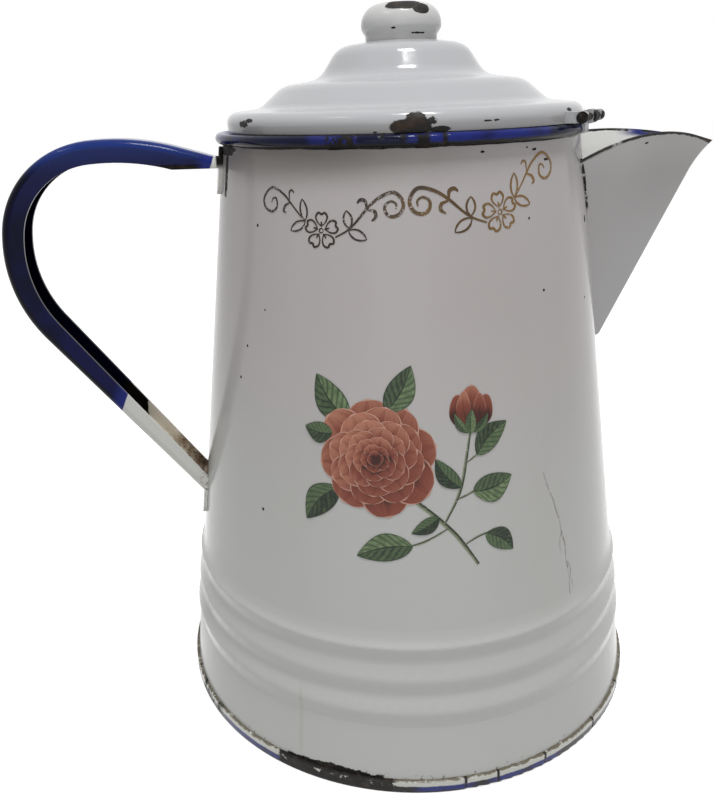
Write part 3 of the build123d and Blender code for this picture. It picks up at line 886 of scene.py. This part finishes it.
def leaf_ink():
    """Green leaves with a midrib and side veins, one half darker than the other."""
    finish, tone, along, side = print_ink("green print of the leaves")
    streaks = grain_on_print(finish, along, side, 9.0, 5.0)
    from_middle = finish.calc("SUBTRACT", side, 0.5)
    middle = finish.calc("ABSOLUTE", from_middle)
    slant = finish.calc("SUBTRACT", along, finish.share(middle, 0.5))
    veins = finish.calc("SINE", finish.share(slant, 46.0))
    vein_lines = finish.both(finish.step(veins, 0.86, 0.97), finish.step(middle, 0.03, 0.07))
    pale_half = finish.step(from_middle, 0.03, -0.03)
    light = finish.calc("MULTIPLY_ADD", pale_half, 0.4, finish.share(veins, -0.1))
    light = finish.frayed(light, streaks, 0.8)
    light = finish.calc("ADD", light, finish.calc("SUBTRACT", tone, 0.15))
    colour = finish.mix(finish.step(light, -0.1, 0.55), LEAF_DARK, LEAF_GREEN)
    colour = finish.mix(finish.step(light, 0.5, 1.1), colour, LEAF_LIGHT)
    edge = finish.either(finish.step(middle, 0.44, 0.49), finish.step(along, 0.93, 0.99))
    midrib = finish.step(middle, 0.035, 0.015)
    lines = finish.either(midrib, finish.share(vein_lines, 0.75), finish.share(edge, 0.7))
    return worn_print(finish, finish.mix(lines, colour, LEAF_DARK))


def stem_ink():
    """Grey-green stems with a darker edge."""
    finish, _, _, side = print_ink("green print of the stems")
    shade = finish.frayed(side, finish.noise(700, 3, 0.6), 0.6)
    colour = finish.mix(finish.step(shade, 0.3, 0.8), STEM_DARK, STEM_LIGHT)
    return worn_print(finish, colour, 0.62)


def gold_ink():
    """Gold transfer, tarnished brown on the left and rubbed thin in places."""
    finish = Finish("tarnished gold print", 0.35)
    patch = finish.noise(70, 4, 0.6)
    bright = finish.frayed(finish.share(finish.axes()[0], 22.0), patch, 1.4)
    colour = finish.mix(finish.step(bright, -0.5, 0.5), TARNISHED_GOLD, OLD_GOLD)
    rubbed = finish.step(finish.noise(1500, 3, 0.6), 0.55, 0.62)
    rubbed = finish.both(rubbed, finish.step(patch, 0.44, 0.6))
    finish.paint(finish.mix(finish.share(rubbed, 0.75), colour, WHITE))
    put(finish.shader, {"Metallic": 0.25})
    return finish.material


def crack_ink():
    """Dirt in a hairline crack, broken up along its length."""
    finish = Finish("dirt in the hairline crack", 0.5)
    broken = finish.step(finish.noise(330, 4, 0.6), 0.4, 0.6)
    finish.paint(finish.mix(broken, WHITE, CRACK_DIRT))
    return finish.material


def seam_enamel():
    """Enamel that filled the spout's seam, broken to dark iron near the mouth."""
    finish = Finish("enamel in the seam of the spout")
    z = finish.axes()[2]
    grain = finish.noise(420, 4, 0.65)
    high = finish.step(finish.frayed(z, grain, 12 * MM), 167 * MM, 171 * MM)
    broken = finish.both(high, finish.step(grain, 0.36, 0.44))
    return finish.finish(white_colour(finish, WHITE), broken, 0.3)


def wrapped(columns, rows, place, middle, level=0.0, tone=0.5):
    """Grid laid on the wall. place() gives its points in millimetres, across and up from a middle."""
    azimuth, height = middle
    bpy.ops.mesh.primitive_grid_add(x_subdivisions=columns, y_subdivisions=rows, size=1, calc_uvs=True)
    piece = bpy.context.object
    radius = on_wall(azimuth, height).xy.length
    for vertex in piece.data.vertices:
        across, up = place(vertex.co.x + 0.5, vertex.co.y + 0.5)
        turn = azimuth + math.degrees(across * MM / radius)
        vertex.co = on_wall(turn, height + up * MM, PRINT_LIFT + level * PRINT_LAYER)
    tones = piece.data.attributes.new("tone", "FLOAT", "POINT")
    for value in tones.data:
        value.value = tone
    return piece


def smooth_line(points, t):
    """Point at 0 to 1 of the way along a smooth line through all the points."""
    runs = len(points) - 1
    run = min(int(t * runs), runs - 1)
    f = t * runs - run
    p0, p1 = points[max(run - 1, 0)], points[run]
    p2, p3 = points[run + 1], points[min(run + 2, runs)]
    place = []
    for a, b, c, d in zip(p0, p1, p2, p3):
        bend = (2 * a - 5 * b + 4 * c - d) * f + (3 * b - a - 3 * c + d) * f * f
        place.append(b + 0.5 * f * (c - a + bend))
    return place


def stroke(points, width, middle, thin_ends=0.45):
    """Printed line of a width through flat points, thinner towards its ends."""
    step = 0.004

    def place(u, v):
        x, y = smooth_line(points, u)
        ax, ay = smooth_line(points, max(u - step, 0.0))
        bx, by = smooth_line(points, min(u + step, 1.0))
        length = math.hypot(bx - ax, by - ay) or 1.0
        full = min(1.0, thin_ends + (1 - thin_ends) * 3 * min(u, 1 - u))
        off = (v - 0.5) * width * full
        return x - off * (by - ay) / length, y + off * (bx - ax) / length

    return wrapped(6 * (len(points) - 1) + 1, 2, place, middle)


def blade(base, tip, width, bend, fullness, point, level, tone):
    """Petal or leaf of the spray from its base to its tip, bent sideways and as full as asked."""
    run = (tip[0] - base[0], tip[1] - base[1])
    length = math.hypot(*run)
    way = (run[0] / length, run[1] / length)

    def place(u, v):
        half = width / 2 * max(math.sin(math.pi * u**fullness), 0.0) ** point
        side = (v - 0.5) * 2 * half + bend * math.sin(math.pi * u)
        return (
            base[0] + way[0] * length * u - way[1] * side,
            base[1] + way[1] * length * u + way[0] * side,
        )

    return wrapped(*BLADE_GRID, place, SPRAY_PLACE, level, tone)


def blades(rows, fullness, point, level, rise):
    """Petals or leaves of a table, each laid a little over the last."""
    return [
        blade(base, tip, width, bend, fullness, point, level + number * rise, tone)
        for number, (base, tip, width, bend, tone) in enumerate(rows)
    ]


def finish_piece(pieces, name, material, thickness=PRINT_THICKNESS):
    """Join the pieces into one closed, thin piece on the pot."""
    bpy.ops.object.select_all(action="DESELECT")
    for piece in pieces:
        piece.select_set(True)
    bpy.context.view_layer.objects.active = pieces[0]
    if len(pieces) > 1:
        bpy.ops.object.join()
    joined = bpy.context.object
    joined.name = name
    if thickness:
        bpy.ops.object.modifier_add(type="SOLIDIFY")
        joined.modifiers[-1].thickness = thickness
        bpy.ops.object.modifier_apply(modifier=joined.modifiers[-1].name)
    bpy.ops.object.mode_set(mode="EDIT")
    bpy.ops.mesh.select_all(action="SELECT")
    bpy.ops.mesh.normals_make_consistent(inside=False)
    bpy.ops.object.mode_set(mode="OBJECT")
    bpy.ops.object.shade_smooth_by_angle(angle=math.radians(40))
    joined.data.materials.clear()
    joined.data.materials.append(material)
    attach(joined, "pot")
    bpy.ops.object.select_all(action="DESELECT")


def scroll_half(side, turn, scale, weight):
    """Half of the scroll frieze, mirrored, turned and scaled, with lines of the given weight."""
    angle = math.radians(turn)

    def turned(points):
        placed = []
        for x, y in points:
            x, y = x * side * scale, y * scale
            across = x * math.cos(angle) - y * math.sin(angle)
            placed.append((across, x * math.sin(angle) + y * math.cos(angle)))
        return placed

    def line(points, width):
        return stroke(turned(points), width * weight, FRIEZE_PLACE)

    pieces = [line(points, width) for points, width in SCROLL_LINES]
    for base, tip, width in SCROLL_LEAVES:
        for bulge in (1, -1):
            run = (tip[0] - base[0], tip[1] - base[1])
            length = math.hypot(*run)
            off = (-run[1] / length * width / 2 * bulge, run[0] / length * width / 2 * bulge)
            middle = [
                (base[0] + run[0] * t + off[0] * k, base[1] + run[1] * t + off[1] * k)
                for t, k in LEAF_SIDE
            ]
            pieces.append(line([base] + middle + [tip], 0.55))
    cx, cy = SCROLL_FLOWER
    for petal in range(5):
        way = math.radians(90 + 72 * petal)
        outline = [
            (cx + r * math.cos(way) - t * math.sin(way), cy + r * math.sin(way) + t * math.cos(way))
            for r, t in PETAL_OUTLINE
        ]
        pieces.append(line(outline, 0.62))
        dash = [(cx + r * math.cos(way), cy + r * math.sin(way)) for r in PETAL_DASH]
        pieces.append(line(dash, 0.5))
    ways = [eighth * math.pi / 4 for eighth in range(9)]
    ring = [(cx + FLOWER_RING * math.cos(way), cy + FLOWER_RING * math.sin(way)) for way in ways]
    pieces.append(line(ring, 0.4))
    return pieces


def make_frieze():
    """Gold scrollwork under the rim, its right half a little higher and larger."""
    pieces = [piece for half in SCROLL_HALVES for piece in scroll_half(*half)]
    finish_piece(pieces, "gold_scroll_frieze", gold_ink())


def make_blossom(rng):
    """Petals of the double blossom, ring by ring from the outside to the heart."""
    pieces = []
    cx, cy = BLOSSOM
    level = 0.0
    for count, length, width, start, shade in BLOSSOM_RINGS:
        for petal in range(count):
            way = math.radians(start + 360 / count * petal + rng.uniform(-5, 5))
            reach = length * rng.uniform(0.94, 1.05)
            base = (cx - 0.8 * math.cos(way), cy - 0.8 * math.sin(way))
            tip = (cx + reach * math.cos(way), cy + reach * math.sin(way))
            tone = shade + 0.22 * math.cos(way - LIT_FROM) + rng.uniform(-0.08, 0.08)
            bend = rng.uniform(-0.06, 0.06) * reach
            full_width = width * rng.uniform(0.95, 1.08)
            level += PETAL_RISE
            pieces.append(blade(base, tip, full_width, bend, 1.5, 0.5, level, tone))
    return pieces


def make_spray():
    """Printed spray: a terracotta blossom with a bud, narrow leaves and stems."""
    stems = [stroke(points, width, SPRAY_PLACE, ends) for points, width, ends in SPRAY_STEMS]
    leaves = blades(SPRAY_LEAVES, 0.85, 0.85, 1, 0.3)
    petals = make_blossom(random.Random(BLOSSOM_SEED))
    petals += blades(BUD_PETALS, 0.95, 0.6, 1, 0.5)
    leaves += blades(BUD_SEPALS, 0.8, 0.9, 4, 0.5)
    finish_piece(stems, "printed_stems", stem_ink())
    finish_piece(leaves, "printed_leaves", leaf_ink())
    finish_piece(petals, "printed_petals", petal_ink())


def make_crack():
    """Hairline crack down the wall to the ribs, with two short branches."""
    pieces = [stroke(points, width, CRACK_PLACE, 0.5) for points, width in CRACK_LINES]
    finish_piece(pieces, "hairline_crack", crack_ink())


def seam_point(z, side):
    """Point where a side of the spout meets the wall at a height, found step by step."""
    keel = SPOUT_FLARE[0] - (SPOUT_FLARE[1] - z) * KEEL_LEAN
    wall = on_wall(0, z).x
    angle = 0.4
    for _ in range(SEAM_STEPS):
        sine = (keel / wall - math.cos(angle)) * KEEL_LEAN
        angle = math.asin(max(min(sine, 0.95), 0.0))
    return on_wall(math.degrees(angle) * side, z, SEAM_LIFT)


def make_seam(side, name, material):
    """Bead of enamel along one side of the spout's joint with the wall."""
    rng = random.Random(BEAD_SEED)
    bpy.ops.curve.primitive_nurbs_path_add()
    curve = bpy.context.object
    spline = curve.data.splines[0]
    spline.points.add(SEAM_POINTS - len(spline.points))
    for step, point in enumerate(spline.points):
        z = SEAM_TOP_Z + (SEAM_LOW_Z - SEAM_TOP_Z) * step / (SEAM_POINTS - 1)
        place = seam_point(z, side)
        point.co = (place.x, place.y, place.z, 1)
        point.radius = 1 + rng.uniform(-0.25, 0.3)
    spline.order_u = 3
    spline.use_endpoint_u = True
    curve.data.bevel_depth = SEAM_RADIUS
    curve.data.bevel_resolution = 3
    curve.data.use_fill_caps = True
    bpy.ops.object.select_all(action="DESELECT")
    curve.select_set(True)
    bpy.context.view_layer.objects.active = curve
    bpy.ops.object.convert(target="MESH")
    bpy.ops.object.transform_apply(location=True, rotation=True, scale=True)
    finish_piece([bpy.context.object], name, material, 0.0)


def make_camera():
    """Camera at the photograph's place and angle."""
    bpy.ops.object.camera_add(location=CAMERA_PLACE, rotation=[math.radians(a) for a in CAMERA_TURN])
    camera = bpy.context.object
    camera.data.lens = CAMERA_LENS
    camera.data.sensor_width = CAMERA_SENSOR
    camera.data.shift_x, camera.data.shift_y = CAMERA_SHIFT
    camera.data.clip_start = 0.01
    bpy.context.scene.camera = camera


def aim_light(name, place, width, height, power):
    """Soft lamp of a width and height that faces the pot."""
    bpy.ops.object.light_add(type="AREA", location=place)
    lamp = bpy.context.object
    lamp.name = name
    lamp.data.shape = "RECTANGLE"
    lamp.data.size = width
    lamp.data.size_y = height
    lamp.data.energy = power
    lamp.rotation_euler = (Vector(LAMP_AIM) - Vector(place)).to_track_quat("-Z", "Y").to_euler()


def seen_directly(nodes, links):
    """1 for rays from the camera, in reflections and through glass, 0 for those that light the pot."""
    path = nodes.new("ShaderNodeLightPath")
    seen = path.outputs["Is Camera Ray"]
    for other in ("Is Glossy Ray", "Is Transmission Ray"):
        either = nodes.new("ShaderNodeMath")
        either.operation = "MAXIMUM"
        links.new(seen, either.inputs[0])
        links.new(path.outputs[other], either.inputs[1])
        seen = either.outputs[0]
    return seen


def make_light():
    """Studio light: lamps above, to the left and in front, and a pale surround."""
    for lamp in LAMPS:
        aim_light(*lamp)
    world = bpy.data.worlds.new("pale studio")
    bpy.context.scene.world = world
    world.use_nodes = True
    nodes, links = world.node_tree.nodes, world.node_tree.links
    strength = nodes.new("ShaderNodeMapRange")
    links.new(seen_directly(nodes, links), strength.inputs["Value"])
    put(strength, {"To Min": LIGHT_ALL_ROUND, "To Max": 1.0})
    links.new(strength.outputs[0], nodes["Background"].inputs["Strength"])
    put(nodes["Background"], {"Color": PURE_WHITE})


def make_floor():
    """Plain white floor that keeps a soft shadow."""
    bpy.ops.mesh.primitive_plane_add(size=8.0, location=(0, 0, -FLOOR_DROP))
    floor = bpy.context.object
    floor.name = "floor"
    material = bpy.data.materials.new("white floor")
    material.use_nodes = True
    nodes, links = material.node_tree.nodes, material.node_tree.links
    shader = nodes["Principled BSDF"]
    put(shader, {"Base Color": FLOOR_GREY, "Roughness": 0.9, "Emission Color": PURE_WHITE})
    glow = nodes.new("ShaderNodeMath")
    glow.operation = "MULTIPLY"
    links.new(seen_directly(nodes, links), glow.inputs[0])
    glow.inputs[1].default_value = FLOOR_GLOW
    links.new(glow.outputs[0], shader.inputs["Emission Strength"])
    floor.data.materials.append(material)


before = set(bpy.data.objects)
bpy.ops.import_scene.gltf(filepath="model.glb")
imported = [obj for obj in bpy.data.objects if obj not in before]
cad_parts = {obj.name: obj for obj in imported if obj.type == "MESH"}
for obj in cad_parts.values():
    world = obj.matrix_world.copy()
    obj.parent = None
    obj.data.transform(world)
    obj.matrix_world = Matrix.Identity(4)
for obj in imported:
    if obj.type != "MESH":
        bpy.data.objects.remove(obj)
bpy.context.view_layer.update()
bpy.ops.object.select_all(action="DESELECT")
bpy.context.scene.view_settings.view_transform = "Standard"
make_camera()
make_light()
make_floor()
dress_frame()
make_frieze()
make_spray()
make_crack()
bead = seam_enamel()
make_seam(-1, "spout_seam_near", bead)
make_seam(1, "spout_seam_far", bead)
